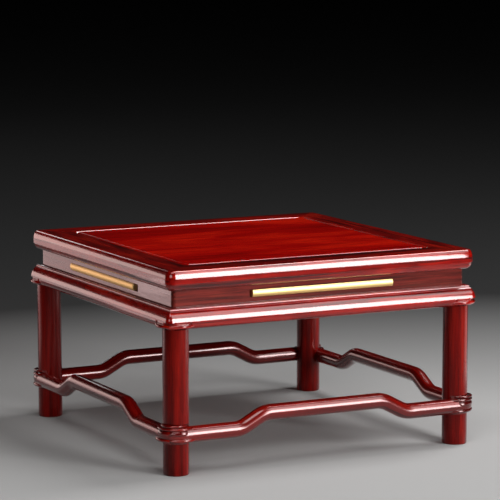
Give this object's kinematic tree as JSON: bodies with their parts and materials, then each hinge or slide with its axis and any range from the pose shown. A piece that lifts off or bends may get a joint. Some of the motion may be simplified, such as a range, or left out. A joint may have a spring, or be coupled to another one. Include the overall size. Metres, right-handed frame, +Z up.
{
  "type": "ornament stand",
  "caption": "Small square hardwood stand: framed panel top, waist with inlaid strips, bullnose apron, round legs and hump-back stretchers wrapped round the legs.",
  "frame": {"origin": "on the floor under the middle of the top", "axes": "+Z up, -Y to the front face that the picture shows on the right, +X to the right of that face"},
  "size_m": [0.1238, 0.1238, 0.07],
  "materials": {
    "frame_wood": "gloss lacquer, dark red-brown",
    "panel_wood": "gloss lacquer, red with streaky grain",
    "leg_wood": "gloss lacquer, dark red-brown",
    "strip_metal": "polished"
  },
  "bodies": {
    "root": {"top_rail_front": "frame_wood", "top_rail_back": "frame_wood", "top_rail_left": "frame_wood", "top_rail_right": "frame_wood", "top_panel": "panel_wood", "panel_batten": "frame_wood", "waist_front": "frame_wood", "waist_back": "frame_wood", "waist_left": "frame_wood", "waist_right": "frame_wood", "strip_front": "strip_metal", "strip_back": "strip_metal", "strip_left": "strip_metal", "strip_right": "strip_metal", "apron_front": "frame_wood", "apron_back": "frame_wood", "apron_left": "frame_wood", "apron_right": "frame_wood", "leg_front_left": "leg_wood", "leg_front_right": "leg_wood", "leg_back_left": "leg_wood", "leg_back_right": "leg_wood", "stretcher_front": "leg_wood", "stretcher_back": "leg_wood", "stretcher_left": "leg_wood", "stretcher_right": "leg_wood"}
  },
  "joints": []
}
